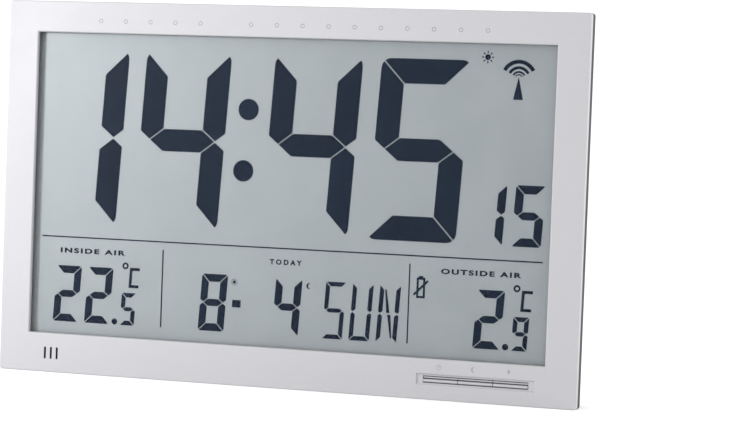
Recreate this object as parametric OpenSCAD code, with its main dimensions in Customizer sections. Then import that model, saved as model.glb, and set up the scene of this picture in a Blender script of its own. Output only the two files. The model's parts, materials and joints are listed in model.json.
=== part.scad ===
/* [Case] */
// Width of the display window
view_w = 329; // [326:0.5:380]
// Height of the display window
view_h = 186.5; // [185:0.5:230]
// Frame border left and right of the window
border_side = 19.5; // [18.5:0.5:30]
// Frame border above the window
border_top = 19.2; // [18.6:0.2:30]
// Frame border below the window
border_bottom = 24.3; // [23.5:0.1:34]
// Depth of the front frame
frame_d = 4; // [3.9:0.1:6]
// Depth of the dark rim behind the frame
rim_d = 11; // [9.5:0.5:13]
// Straight depth of the rim before it draws in
rim_land = 6; // [3:0.5:7]
// How far the rim draws in towards the tub at the sides and top
rim_taper = 2.5; // [1:0.1:3]
// Depth of the rear tub behind the rim
tub_d = 15; // [14.5:0.5:22]
// Thickness of the front face
front_t = 2.5; // [2:0.1:2.7]
// Wall thickness of frame skirt and rear case
wall = 2.2; // [1.8:0.1:2.6]
// Corner radius of the outline
corner_r = 1.6; // [1.5:0.1:4]
// Rounding of the front edge
edge_r = 0.7; // [0.6:0.1:1.4]
// Step from the rim in to the tub at the sides and top
tub_inset = 5; // [4:0.5:6]
// Rounding of the tub's back edge
tub_edge_r = 1.4; // [0.6:0.1:1.4]
// Chamfer round the window
window_chamfer = 0.6; // [0.3:0.1:1]
// Height of the lip that joins rear case and frame
lip_h = 1.1; // [0.7:0.1:1.2]
// Thickness of the joining lip
lip_t = 1.2; // [0.8:0.1:1.4]

/* [Vents] */
// Number of vent slits
vent_count = 3; // [1:1:5]
// Distance of the first slit from the left edge
vent_left = 30.8; // [26:0.1:60]
// Pitch of the slits
vent_pitch = 4; // [3:0.1:6]
// Width of a slit
vent_w = 1.3; // [0.8:0.05:1.6]
// Height of a slit
vent_h = 7.4; // [4:0.1:8]
// Height of the slits' centre above the base
vent_z = 11.9; // [11:0.1:14]
// Thickness of the front face at the slits
vent_t = 1; // [0.8:0.1:1.6]

/* [Keys] */
// Width of a key
key_w = 20.9; // [14:0.1:21.5]
// Gap between neighbouring keys
key_gap = 0.35; // [0.3:0.05:0.8]
// Height of a key
key_h = 3.2; // [2.6:0.1:5]
// Clearance above and below the keys
key_clear = 0.5; // [0.15:0.05:0.6]
// Clearance at the two ends of the row of keys
key_end = 0.2; // [0.15:0.05:0.5]
// Distance of the keys from the right edge
key_right = 29.3; // [27:0.1:50]
// Height of the keys' centre above the base
key_z = 12; // [11.6:0.1:13]
// Depth of the key tray
tray_depth = 1; // [0.5:0.1:1.2]
// Flat floor of the tray past the keys at each end
tray_past = 3.4; // [1:0.1:4]
// Flat floor of the tray above and below the keys
tray_over = 0.6; // [0.3:0.1:0.9]
// Slope at the ends of the tray
tray_end = 0.7; // [0.4:0.1:2]
// Slope above and below the tray's floor
tray_side = 0.8; // [0.5:0.1:1.2]
// How far the lower ridge of a key stands out of the tray
ridge_out = 0.6; // [0.2:0.1:0.9]
// Height of the ridge
ridge_h = 1.8; // [1:0.1:1.8]
// Height of the groove above the ridge
groove_h = 0.6; // [0.4:0.1:0.8]
// Travel of a key
key_travel = 0.5; // [0.3:0.1:0.6]
// Radius of a switch plunger
plunger_r = 1.5; // [1:0.1:2]
// Side length of a switch housing
switch_w = 6; // [5:0.1:6.4]

/* [Display] */
// Thickness of the foam gasket between frame and display
gasket_t = 1; // [0.8:0.1:1.6]
// Thickness of a display glass
glass_t = 1.1; // [0.7:0.1:1.4]
// Thickness of the front film
film_t = 0.2; // [0.1:0.05:0.3]
// Space between the two glasses
cell_gap = 0.1; // [0.08:0.01:0.2]
// Thickness of the reflector
reflector_t = 0.3; // [0.1:0.1:0.5]
// How far the glass reaches behind the frame
glass_lap = 4; // [3:0.1:4.4]
// How far the front glass reaches below the window
glass_drop = 5.8; // [5:0.1:6.4]
// Thickness of the display holder
holder_t = 2; // [1.5:0.1:2.4]
// Height of the rubber contact strip
strip_h = 3; // [2:0.1:3.4]

/* [Digits] */
// Height of the time digits
time_h = 108.1; // [90:0.1:109]
// Width of the time digits
time_w = 55.4; // [50:0.1:56]
// Stroke of the time digits
time_stroke = 14.8; // [8:0.1:16]
// Height of the seconds digits
sec_h = 36; // [28:0.5:40]
// Width of the seconds digits
sec_w = 18; // [14:0.2:18.4]
// Stroke of the seconds digits
sec_stroke = 5.1; // [3:0.1:5.5]
// Height of the temperature and date digits
low_h = 34.8; // [28:0.2:36]
// Width of the temperature and date digits
low_w = 16.8; // [14:0.2:17]
// Stroke of the temperature and date digits
low_stroke = 4.7; // [3:0.1:5]
// Height of the decimal digits
dec_h = 20; // [16:0.5:22]
// Width of the decimal digits
dec_w = 9.6; // [7:0.1:10]
// Stroke of the decimal digits
dec_stroke = 2.8; // [1.8:0.1:3]
// Width of the weekday letters
letter_w = 12.9; // [11:0.1:14]
// Stroke of the weekday letters
letter_stroke = 2.7; // [2:0.1:3.2]
// Sideways lean of the digits for each unit of height
slant = 0.057; // [0:0.001:0.07]
// Gap between the segments of the time digits
seg_gap = 0.7; // [0.6:0.1:1.4]
// Gap between the segments of the smaller figures
small_gap = 0.5; // [0.4:0.05:0.8]
// Thickness of the divider lines
line_t = 0.8; // [0.4:0.1:1.2]

/* [Battery] */
// Radius of a cell
cell_r = 7.25; // [7.1:0.05:7.3]
// Length of a cell without its cap
cell_len = 49.2; // [48.5:0.1:49.5]
// Radius of the cap of a cell
cap_r = 2.75; // [2.3:0.05:3]
// Length of the cap of a cell
cap_len = 1.3; // [1:0.1:1.5]
// Clearance round a cell
cell_clear = 0.4; // [0.3:0.1:0.6]
// Length of a compressed contact spring
spring_len = 4.6; // [4.2:0.1:6]
// Wire radius of a contact spring
spring_wire_r = 0.35; // [0.3:0.05:0.4]
// Number of spring turns
spring_turns = 3; // [2:1:3]
// Thickness of the contact plates
contact_t = 0.4; // [0.3:0.1:0.5]
// Distance of the battery bay's centre right of the middle
bay_x = 82; // [72:1:96]
// Height of the battery bay's centre above the base
bay_z = 88; // [78:1:110]
// Thickness of the battery door
door_t = 2; // [1.6:0.1:2.2]
// How far the door laps over the bay on each side
door_lap = 5; // [4:0.1:7]
// Sliding travel of the door until its tongues come free
door_travel = 8; // [7.8:0.1:10]
// Clearance round the door
door_clear = 0.3; // [0.2:0.05:0.4]

/* [Stand] */
// Width of the stand
stand_w = 50; // [40:1:56]
// Thickness of the stand
stand_t = 4; // [3.4:0.1:4.2]
// Height of the hinge above the base
stand_z = 98; // [80:1:120]
// Opening angle of the stand
stand_angle = 25; // [15:1:40]
// Radius of the hinge pin
pin_r = 1.5; // [1:0.1:1.6]
// Running clearance of the stand on its pin
pin_clear = 0.06; // [0.03:0.01:0.1]
// Clearance round the folded stand
stand_clear = 0.5; // [0.4:0.1:0.8]

/* [Wall hangers] */
// Distance between the two hangers
hanger_span = 200; // [160:1:230]
// Distance of the hangers' entry holes below the top
hanger_drop = 54; // [48:1:80]
// Radius of an entry hole, for the screw's head
hanger_r = 4.5; // [4:0.1:5]
// Width of the hanging slot, for the screw's shank
hanger_slot = 4.6; // [4:0.1:5]
// Length of the hanging slot above the entry hole's centre
hanger_len = 10; // [8:0.5:12]
// Depth of the pocket behind a hanger
hanger_depth = 6; // [5:0.5:7]

/* [Fasteners] */
// Shank radius of the case screws
screw_r = 1.5; // [1.2:0.1:1.6]
// Head radius of the case screws
head_r = 2.8; // [2.5:0.1:3]
// Height of the case screws' heads
head_h = 2; // [1.4:0.1:2.4]
// Length of the case screws' shanks
screw_len = 9; // [6:0.5:10]
// Shank radius of the small screws
small_r = 1; // [0.8:0.1:1.1]
// Head radius of the small screws
small_head_r = 1.9; // [1.6:0.1:2]
// Height of the small screws' heads
small_head_h = 1.3; // [1:0.1:1.5]
// Length of the small screws' shanks
small_len = 5; // [4.4:0.1:5.2]

/* [Hidden] */
$fn = 64;
soft_fn = 32;
arc_steps = 4;

// Outline and levels of the case, from front to back along Y
case_w = view_w + 2 * border_side;
case_h = view_h + border_top + border_bottom;
case_d = frame_d + rim_d + tub_d;
half_w = case_w / 2;
front_y = -case_d / 2;
lip_y = front_y + front_t;
film_y = lip_y + gasket_t;
glass_y = film_y + film_t;
cell_y = glass_y + glass_t;
rear_glass_y = cell_y + cell_gap;
reflector_y = rear_glass_y + glass_t;
holder_y = reflector_y + reflector_t;
board_y = holder_y + holder_t;
board_t = 1.6;
board_back = board_y + board_t;
frame_back = front_y + frame_d;
rim_back = frame_back + rim_d;
back_y = case_d / 2;
inner_back = back_y - wall;
cut = 1;
joint_overlap = 0.5;
lip_clear = 0.2;
rim_wall = wall + lip_clear + lip_t;
rim_edge = 1;
tub_half = half_w - tub_inset;
tub_top = case_h - tub_inset;
thread_clear = 0.02;
hole_clear = 0.2;

// Window and display stack
window_top = border_bottom + view_h;
glass_half = view_w / 2 + glass_lap;
glass_top = window_top + glass_lap;
glass_z = border_bottom - glass_drop;
strip_margin = 1.2;
rear_glass_z = glass_z + strip_h + 2 * strip_margin;
holder_gap = 0.4;
holder_z = rear_glass_z + holder_gap;
holder_rise = 9;
holder_top = glass_top + holder_rise;
gasket_lap = 0.8;
seg_t = 0.06;
seg_y = cell_y + (cell_gap - seg_t) / 2;

// Keys and switches
key_names = ["left", "middle", "right"];
key_pitch = key_w + key_gap;
keys_x1 = half_w - key_right;
keys_x0 = keys_x1 - 3 * key_w - 2 * key_gap;
tray_y = front_y + tray_depth;
flange_t = 1;
flange_lap = 0.8;
flange_gap = 0.05;
flange_back = lip_y + flange_gap + flange_t;
face_set = 0.5;
switch_h = 3.5;
plunger_out = 0.9;
plunger_in = 1.3;
plunger_clear = 0.05;
bore_floor = 0.3;
switch_y = board_y - switch_h;
plunger_y = switch_y - plunger_out;
stem_w = 4;
stem_h = 3;

// Bosses, main board and small screws
boss_r = 3.2;
boss_clear = 0.8;
boss_x = glass_half + boss_clear + boss_r;
boss_z = 11.4;
boss_zs = [boss_z, case_h / 2, case_h - boss_z];
boss_back = rim_back - wall;
small_boss_r = 2.5;
holder_boss_rise = 5;
holder_boss_z = glass_top + holder_boss_rise;
holder_boss_in = 18;
holder_boss_gap = 90;
holder_boss_xs = [for (s = [-1, 1], k = [0, 1]) s * (glass_half - holder_boss_in - k * holder_boss_gap)];
tab_left = 84;
tab_drop = 4.5;
tab_x = -half_w + tab_left;
tab_z = glass_z - tab_drop;
tab_w = 9;
board_w = 205;
board_h = 43;
board_past_keys = 8;
board_x1 = keys_x1 + board_past_keys;
board_x0 = board_x1 - board_w;
board_rise = 1.5;
board_z = rim_wall + board_rise;
board_hole_in = 3.6;
board_mid = 90;
board_hole_xs = [board_x0 + board_hole_in, board_x0 + board_mid, board_x1 - board_hole_in];
board_low_z = board_z + board_hole_in;
board_high_z = board_z + board_h - board_hole_in;
tip_clear = 0.3;

// Battery bay and its door
bay_wall = 1.6;
bay_floor_t = 1.4;
end_clear = 0.1;
bay_len = 2 * contact_t + cap_len + cell_len + spring_len + 2 * end_clear;
bay_h = 4 * cell_r + 3 * cell_clear;
bay_x0 = bay_x - bay_len / 2;
bay_x1 = bay_x + bay_len / 2;
cell_cy = back_y - door_t - cell_clear - cell_r;
cell_zs = [bay_z + cell_r + cell_clear / 2, bay_z - cell_r - cell_clear / 2];
bay_floor = cell_cy - cell_r - cell_clear;
door_h = bay_h + 2 * door_lap;
door_gap = 0.1;
door_seat = back_y - door_t - door_gap;
pad_t = 1.8;
pad_rim = 2.6;
tongue_len = 7;
tongue_out = 1.2;
tongue_t = 0.9;
tongue_in = 12;
tongue_clear = 0.25;
door_x0 = bay_x0 - door_lap;
door_x1 = bay_x1 + door_lap;
tongue_xs = [door_x0 + tongue_in, door_x1 - tongue_in];
grip_count = 4;
grip_pitch = 2.4;
grip_w = 0.9;
grip_depth = 0.5;

// Contact springs and plates in the battery bay
spring_r0 = 4.2;
spring_r1 = 2.6;
spring_rise = spring_len - 2 * spring_wire_r;
plate_w = 10;
tail_rise = 3;
tail_y = bay_floor + tail_rise;
tail_t = 0.8;
tail_w = 2.4;
tail_out = 1.5;
lead_spread_red = 7;
lead_spread_black = 4;

// Table stand
stand_set = 0.2;
stand_floor_gap = 1;
barrel_r = stand_t / 2 + stand_set;
stand_back = back_y - stand_set;
stand_front = stand_back - stand_t;
stand_floor = stand_front - stand_floor_gap;
pin_y = stand_back - barrel_r;
stop_clear = 0.1;
heel_h = (pin_y - stand_floor - stop_clear - (pin_y - stand_front) * cos(stand_angle)) / sin(stand_angle);
foot_z = 1.2;
ear_t = 3;
pin_hold = 2.4;
recess_half = stand_w / 2 + stand_clear;
recess_top = stand_z + max(heel_h, barrel_r) + stand_floor_gap;
recess_t = 1.8;
notch_r = 8;
stand_groove_w = 30;
stand_groove_h = 1.4;
stand_groove_depth = 0.6;
stand_groove_pitch = 4;
stand_groove_z = 14;

// Hanger pockets, screw wells and sound slits in the rear case
hanger_z = case_h - hanger_drop;
pocket_clear = 0.6;
pocket_wall = 1.5;
head_clear = 0.5;
well_wall = 1.5;
web_t = 2;
buzzer_left = 74;
buzzer_x = -half_w + buzzer_left;
buzzer_z = 78;
buzzer_r = 13.5;
buzzer_t = 0.5;
buzzer_ring_in = 12.5;
buzzer_ring_out = 15;
buzzer_ring_h = 4;
slit_count = 5;
slit_pitch = 3.4;
slit_w = 1.3;
slit_h = 15;

// Receivers and their antennas
rod_r = 4;
rod_len = 64;
rod_left = 89;
rod_x = -half_w + rod_left;
rod_drop = 26;
rod_z = case_h - rod_drop;
rod_lift = 2.2;
rod_y = board_y + rod_lift + rod_r;
coil_r = 5.6;
coil_len = 26;
coil_clear = 0.05;
clip_w = 6;
clip_h = 13;
clip_in = 8;
clip_grip = 2;
clip_clear = 0.1;
radio_left = 140;
radio_x = -half_w + radio_left;
radio_w = 24;
radio_h = 16;
radio_t = 1.2;
chip_r = 4;
chip_h = 1.2;
remote_right = 64;
remote_x = half_w - remote_right;
remote_w = 34;
remote_h = 20;
can_w = 15;
can_h = 12;
can_t = 2.6;
aerial_r = 2.3;
aerial_wire_r = 0.4;
aerial_turns = 8;
aerial_pitch = 1.9;
aerial_gap = 0.1;

// Parts on the main board and the temperature sensor
controller_x = 20;
controller_r = 8;
controller_h = 1.8;
crystal_r = 1.1;
crystal_len = 6.2;
cap_body_r = 2.5;
cap_body_h = 6;
cap_xs = [56, 66];
part_rise = 26;
part_z = board_z + part_rise;
sensor_r = 1.5;
sensor_len = 5;
sensor_gap = 0.1;
vent_margin = 2.4;
sensor_x = -half_w + vent_left + vent_pitch * (vent_count - 1) / 2;
sensor_y = lip_y + sensor_gap + sensor_r;
lead_r = 0.7;
lead_end = 0.1;
lead_sides = 8;
coil_sides = 6;
coil_rings = 8;

// Places of the display's signs, from the window's centre line and lower edge
time_x = -166.3;
time_z = 68.4;
time_pitch = 67;
colon_jump = 16.5;
colon_r = 6.5;
colon_x = -30.2;
colon_zs = [37.3, 74.5];
sec_x = 116.8;
sec_z = 68.5;
sec_pitch = 23.3;
low_z = 7.4;
in_x = -150.9;
low_pitch = 21.2;
in_dec_x = -105.9;
in_dot_x = -109.2;
dot_r = 1.9;
day_x = -54.1;
month_x = -6.3;
dash_w = 5.5;
dash_h = 4.5;
dash_x = -32.2;
dash_z = 15.3;
out_x = 119.2;
out_dot_x = 139.2;
out_dec_x = 142.4;
letter_x = 25.6;
letter_pitch = 17;
letter_h = 34.3;
ring_r = 2.1;
ring_t = 1.1;
ring_z = 44;
degree_in_x = -103;
degree_out_x = 145;
degree_bar_w = 6.6;
degree_bar_t = 1.8;
degree_h = 12.4;
degree_drop = 13.4;
degree_step = 2.4;
line_z = 60;
line_len = 319.5;
post_xs = [-78.4, 79.3];
post_z = 7.7;
post_h = 47.4;
radio_sign_x = 141;
radio_sign_z = 166.7;
tower_half = 3;
tower_h = 12.5;
tower_top = 0.9;
wave_rs = [10.9, 7.1, 4.3, 2.5];
wave_ts = [2.3, 1.7, 1.1, 0.7];
wave_half = 62;
low_bat_x = 86.5;
low_bat_z = 41.15;
low_bat_w = 5.3;
low_bat_h = 12.2;
low_bat_t = 1.3;
low_bat_cap = 1;
low_bat_slash = 9.7;
sun_x = 122;
sun_z = 178.6;
sun_r = 1.7;
sun_ray_in = 2.3;
sun_ray_out = 3.6;
sun_ray_w = 0.7;
sun_rays = 8;

// Segments of each figure, and of the three weekday letters
figure_segments = [
    "abcdef", "bc", "abged", "abgcd", "fgbc",
    "afgcd", "afgecd", "abc", "abcdefg", "abcdfg"
];
letter_segments = ["afgcd", "bcdef", "bcefn"];

// Measures of a segment of stroke s
round_share = 0.4;
tip_share = 0.42;
half_share = 0.46;
tip_slope = 0.787;
tip_gap = 0.6;
bar_gap = 0.7;

function lean(p) = [p[0] + p[1] * slant, p[1]];
function flip_x(points, w) = [for (p = points) [w - p[0], p[1]]];
function flip_z(points, h) = [for (p = points) [p[0], h - p[1]]];
function arc(x, z, r, from, to) = [
    for (i = [0:arc_steps])
        let (a = from + (to - from) * i / arc_steps)
            [x + r * cos(a), z + r * sin(a)]
];
function mitre(g) = g / sqrt(2);
function mitre_angle(s, g) = mitre(g) / (sqrt(2) * round_share * s) * 180 / PI;

// Top bar of a figure, with rounded outer corners and mitred ends
function top_bar(w, h, s, g) =
    let (r = round_share * s, e = mitre(g), a = mitre_angle(s, g))
        concat(
            [[s + e, h - s]],
            arc(r, h - r, r, 135 - a, 90),
            arc(w - r, h - r, r, 90, 45 + a),
            [[w - s - e, h - s]]
        );

// Upper left bar of a figure, pointed at the middle
function side_bar(w, h, s, g) =
    let (r = round_share * s, e = mitre(g), a = mitre_angle(s, g), k = tip_share * s)
        concat(
            arc(r, h - r, r, 180, 135 + a),
            [
                [s, h - s - e],
                [s, h / 2 + tip_slope * (s - k) + tip_gap * g],
                [k, h / 2 + tip_gap * g],
                [0, h / 2 + tip_slope * k + tip_gap * g]
            ]
        );

// Middle bar of a figure, pointed at both ends
function middle_bar(w, h, s, g) =
    let (t = half_share * s, k = tip_share * s + bar_gap * g, b = k + t / tip_slope)
        [
            [k, h / 2], [b, h / 2 + t], [w - b, h / 2 + t],
            [w - k, h / 2], [w - b, h / 2 - t], [b, h / 2 - t]
        ];

// Upper half of the slanting stroke of a letter
function slant_bar(w, h, s, g) = [
    [s + g, h - s], [s + g + s / 3, h - s], [w / 2 + s / 4, h / 2 + g], [w / 2 - s / 2, h / 2 + g]
];

function segment(name, w, h, s, g) =
    name == "a" ? top_bar(w, h, s, g) :
    name == "b" ? flip_x(side_bar(w, h, s, g), w) :
    name == "c" ? flip_z(flip_x(side_bar(w, h, s, g), w), h) :
    name == "d" ? flip_z(top_bar(w, h, s, g), h) :
    name == "e" ? flip_z(side_bar(w, h, s, g), h) :
    name == "f" ? side_bar(w, h, s, g) :
    middle_bar(w, h, s, g);

// Ring of a swept tube at point i, and the whole tube as one closed body
function unit(v) = v / norm(v);
function heading(p, i) = unit(p[min(i + 1, len(p) - 1)] - p[max(i - 1, 0)]);
function tube_points(p, r, n, ref) = [
    for (i = [0:len(p) - 1], j = [0:n - 1])
        let (t = heading(p, i), u = unit(cross(t, ref)), v = cross(t, u), a = 360 * j / n)
            p[i] + r * (cos(a) * u + sin(a) * v)
];
function tube_faces(count, n) = concat(
    [for (j = [1:n - 2]) [0, j, j + 1]],
    [for (j = [1:n - 2]) let (k = (count - 1) * n) [k, k + j + 1, k + j]],
    [for (i = [0:count - 2], j = [0:n - 1]) [i * n + j, (i + 1) * n + j, i * n + (j + 1) % n]],
    [for (i = [0:count - 2], j = [0:n - 1])
        [i * n + (j + 1) % n, (i + 1) * n + j, (i + 1) * n + (j + 1) % n]]
);

// Least gaps between the turns of the two coils
echo(spring_gap = spring_rise / spring_turns - 2 * spring_wire_r);
echo(aerial_gap = aerial_pitch - 2 * aerial_wire_r);

// Points of a coil along X whose radius goes from r0 to r1
function coil_path(length, r0, r1, turns) = [
    for (i = [0:turns * coil_rings])
        let (t = i / (turns * coil_rings), r = r0 + (r1 - r0) * t, a = 360 * turns * t)
            [length * t, r * cos(a), r * sin(a)]
];

module tube(points, r, n, ref) {
    polyhedron(tube_points(points, r, n, ref), tube_faces(len(points), n));
}

module box(x0, x1, y0, y1, z0, z1) {
    translate([x0, y0, z0])
        cube([x1 - x0, y1 - y0, z1 - z0]);
}

// Round peg along Y
module peg(x, z, r, y0, y1) {
    translate([x, y0, z])
        rotate([-90, 0, 0])
            cylinder(r = r, h = y1 - y0);
}

// Round bar along X
module bar(x0, x1, y, z, r) {
    translate([x0, y, z])
        rotate([0, 90, 0])
            cylinder(r = r, h = x1 - x0);
}

// Flat outline in X and Z, drawn through from y0 to y1
module drawn(y0, y1) {
    translate([0, y1, 0])
        rotate([90, 0, 0])
            linear_extrude(height = y1 - y0)
                children();
}

// Round post with one rounded end, and a block with four such corners
module corner_post(d, r, round) {
    rotate_extrude($fn = soft_fn)
        polygon(concat(
            [[0, 0]],
            arc(r - round, round, round, -90, 0),
            [[r, d], [0, d]]
        ));
}

module soft_block(half, z0, z1, d, r, round) {
    hull()
        for (x = [-half + r, half - r], z = [z0 + r, z1 - r])
            translate([x, 0, z])
                rotate([-90, 0, 0])
                    corner_post(d, r, round);
}

module rounded_outline(half, z0, z1, r) {
    translate([-half + r, z0])
        square([2 * (half - r), z1 - z0]);
    translate([-half, z0 + r])
        square([2 * half, z1 - z0 - 2 * r]);
    for (x = [-half + r, half - r], z = [z0 + r, z1 - r])
        translate([x, z])
            circle(r = r);
}

// Box cutter that widens from one rectangle to another through a given depth
module flared_cut(half, mid, z0, z1, flare_x, flare_z, depth) {
    slab = 0.01;
    hull() {
        box(mid - half - flare_x, mid + half + flare_x, front_y - slab, front_y, z0 - flare_z,
            z1 + flare_z);
        box(mid - half, mid + half, front_y + depth - slab, front_y + depth, z0, z1);
    }
}

function key_x(i) = keys_x0 + key_w / 2 + i * key_pitch;

module front_frame() {
    color("silver")
        difference() {
            union() {
                difference() {
                    translate([0, front_y, 0])
                        soft_block(half_w, 0, case_h, frame_d, corner_r, edge_r);
                    box(-half_w + wall, half_w - wall, lip_y, frame_back + cut, wall, case_h - wall);
                }
                frame_bosses(boss_r, small_boss_r, lip_y - joint_overlap, 0);
            }
            box(-view_w / 2, view_w / 2, front_y - cut, lip_y + cut, border_bottom, window_top);
            flared_cut(view_w / 2, 0, border_bottom, window_top, window_chamfer, window_chamfer,
                window_chamfer);
            key_opening();
            for (i = [0:vent_count - 1])
                vent_slit(-half_w + vent_left + i * vent_pitch);
            vent_pocket();
            frame_bosses(screw_r + thread_clear, small_r + thread_clear, lip_y, cut);
        }
}

// Bosses of the frame, or the pilot holes in them
module frame_bosses(r, small, y0, past) {
    for (x = [-boss_x, boss_x], z = boss_zs)
        peg(x, z, r, y0, boss_back + past);
    for (x = holder_boss_xs)
        peg(x, holder_boss_z, small, y0, holder_y + past);
    peg(tab_x, tab_z, small, y0, holder_y + past);
    for (x = board_hole_xs)
        peg(x, board_low_z, small, y0, board_y + past);
}

module key_opening() {
    half = (keys_x1 - keys_x0) / 2 + key_end;
    mid = (keys_x0 + keys_x1) / 2;
    z0 = key_z - key_h / 2 - key_clear;
    z1 = key_z + key_h / 2 + key_clear;
    flared_cut(half + tray_past, mid, z0 - tray_over, z1 + tray_over, tray_end, tray_side, tray_depth);
    box(mid - half, mid + half, front_y, lip_y + cut, z0, z1);
}

module vent_slit(x) {
    reach = vent_h / 2 - vent_w / 2;
    box(x - vent_w / 2, x + vent_w / 2, front_y - cut, lip_y + cut, vent_z - reach, vent_z + reach);
    for (z = [vent_z - reach, vent_z + reach])
        peg(x, z, vent_w / 2, front_y - cut, lip_y + cut);
}

// Thinner wall behind the slits, so that room air reaches the sensor
module vent_pocket() {
    x0 = -half_w + vent_left - vent_margin;
    x1 = -half_w + vent_left + (vent_count - 1) * vent_pitch + vent_margin;
    reach = vent_h / 2 + vent_margin / 2;
    box(x0, x1, front_y + vent_t, lip_y + cut, vent_z - reach, vent_z + reach);
}

module window_gasket() {
    inner = view_w / 2 + gasket_lap;
    color("black")
        difference() {
            box(-glass_half, glass_half, lip_y, film_y, glass_z, glass_top);
            box(-inner, inner, lip_y - cut, film_y + cut, border_bottom - gasket_lap,
                window_top + gasket_lap);
        }
}

module lcd_front_film() {
    color("lightgray")
        box(-glass_half, glass_half, film_y, glass_y, rear_glass_z, glass_top);
}

module lcd_front_glass() {
    color("lightcyan")
        box(-glass_half, glass_half, glass_y, cell_y, glass_z, glass_top);
}

module lcd_rear_glass() {
    color("lightcyan")
        box(-glass_half, glass_half, rear_glass_y, reflector_y, rear_glass_z, glass_top);
}

module lcd_reflector() {
    color("gainsboro")
        box(-glass_half, glass_half, reflector_y, holder_y, rear_glass_z, glass_top);
}

module lcd_holder() {
    color("whitesmoke")
        difference() {
            union() {
                box(-glass_half, glass_half, holder_y, board_y, holder_z, holder_top);
                box(tab_x - tab_w / 2, tab_x + tab_w / 2, holder_y, board_y, tab_z - tab_w / 3, holder_z);
            }
            for (x = holder_boss_xs)
                peg(x, holder_boss_z, small_r + hole_clear, holder_y - cut, board_y + cut);
            peg(tab_x, tab_z, small_r + hole_clear, holder_y - cut, board_y + cut);
            for (x = board_hole_xs)
                peg(x, board_high_z, small_r + thread_clear, holder_y - cut, board_y + cut);
        }
}

module contact_strip() {
    end = 2 * board_hole_in;
    color("dimgray")
        box(board_x0 + end, board_x1 - end, cell_y, board_y, glass_z + strip_margin,
            glass_z + strip_margin + strip_h);
}

// One figure of the display at x and z, or one weekday letter
module figure(segments, x, z, w, h, s, g) {
    translate([x, z])
        for (name = segments)
            if (name == "n")
                letter_slants(w, h, s, g);
            else
                polygon([for (p = segment(name, w, h, s, g)) lean(p)]);
}

module letter_slants(w, h, s, g) {
    upper = slant_bar(w, h, s, g);
    polygon([for (p = upper) lean(p)]);
    polygon([for (p = flip_z(flip_x(upper, w), h)) lean(p)]);
}

module number(digits, x, z, pitch, w, h, s, g = small_gap) {
    for (i = [0:len(digits) - 1])
        figure(figure_segments[digits[i]], x + i * pitch, z, w, h, s, g);
}

module degree_sign(x) {
    translate([x, ring_z])
        difference() {
            circle(r = ring_r);
            circle(r = ring_r - ring_t);
        }
    translate([x + degree_step, ring_z - degree_drop]) {
        polygon([for (p = [[0, 0], [degree_bar_t, 0], [degree_bar_t, degree_h], [0, degree_h]]) lean(p)]);
        for (z = [0, degree_h - degree_bar_t])
            translate([degree_bar_t + z * slant, z])
                square([degree_bar_w - degree_bar_t, degree_bar_t]);
    }
}

module radio_sign() {
    reach = 2 * wave_rs[0];
    translate([radio_sign_x, radio_sign_z]) {
        polygon([[0, tower_top], [tower_half, -tower_h], [-tower_half, -tower_h]]);
        for (i = [0:len(wave_rs) - 1])
            intersection() {
                difference() {
                    circle(r = wave_rs[i]);
                    circle(r = wave_rs[i] - wave_ts[i]);
                }
                polygon([[0, 0], [-reach * tan(wave_half), reach], [reach * tan(wave_half), reach]]);
            }
    }
}

module low_battery_sign() {
    half = low_bat_w / 2;
    translate([low_bat_x, low_bat_z]) {
        difference() {
            square([low_bat_w, low_bat_h], center = true);
            square([low_bat_w - 2 * low_bat_t, low_bat_h - 2 * low_bat_t], center = true);
        }
        translate([-half / 2, low_bat_h / 2])
            square([half, low_bat_cap]);
        rotate(45)
            square([low_bat_slash + low_bat_w / 2, low_bat_t], center = true);
    }
}

module sun_sign() {
    translate([sun_x, sun_z]) {
        circle(r = sun_r);
        for (i = [0:sun_rays - 1])
            rotate(i * 360 / sun_rays)
                translate([sun_ray_in, -sun_ray_w / 2])
                    square([sun_ray_out - sun_ray_in, sun_ray_w]);
    }
}

module display_signs() {
    number([1, 4], time_x, time_z, time_pitch, time_w, time_h, time_stroke, seg_gap);
    number([4, 5], time_x + 2 * time_pitch + colon_jump, time_z, time_pitch, time_w, time_h, time_stroke,
        seg_gap);
    for (z = colon_zs)
        translate([colon_x + z * slant, time_z + z])
            circle(r = colon_r);
    number([1, 5], sec_x, sec_z, sec_pitch, sec_w, sec_h, sec_stroke);
    number([2, 2], in_x, low_z, low_pitch, low_w, low_h, low_stroke);
    number([5], in_dec_x, low_z, 0, dec_w, dec_h, dec_stroke);
    number([8], day_x, low_z, 0, low_w, low_h, low_stroke);
    number([4], month_x, low_z, 0, low_w, low_h, low_stroke);
    number([2], out_x, low_z, 0, low_w, low_h, low_stroke);
    number([9], out_dec_x, low_z, 0, dec_w, dec_h, dec_stroke);
    for (i = [0:len(letter_segments) - 1])
        figure(letter_segments[i], letter_x + i * letter_pitch, low_z, letter_w, letter_h, letter_stroke,
            small_gap);
    for (x = [in_dot_x, out_dot_x])
        translate([x, low_z + dot_r])
            circle(r = dot_r);
    translate([dash_x, low_z + dash_z])
        square([dash_w, dash_h]);
    for (x = [degree_in_x, degree_out_x])
        degree_sign(x);
    translate([0, line_z])
        square([line_len, line_t], center = true);
    for (x = post_xs)
        translate([x - line_t / 2, post_z])
            square([line_t, post_h]);
    radio_sign();
    low_battery_sign();
    sun_sign();
}

module lcd_segments() {
    color("midnightblue")
        translate([0, 0, border_bottom])
            drawn(seg_y, seg_y + seg_t)
                display_signs();
}

module main_board() {
    color("darkgreen")
        difference() {
            box(board_x0, board_x1, board_y, board_back, board_z, board_z + board_h);
            for (x = board_hole_xs, z = [board_low_z, board_high_z])
                peg(x, z, small_r + hole_clear, board_y - cut, board_back + cut);
        }
}

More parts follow.
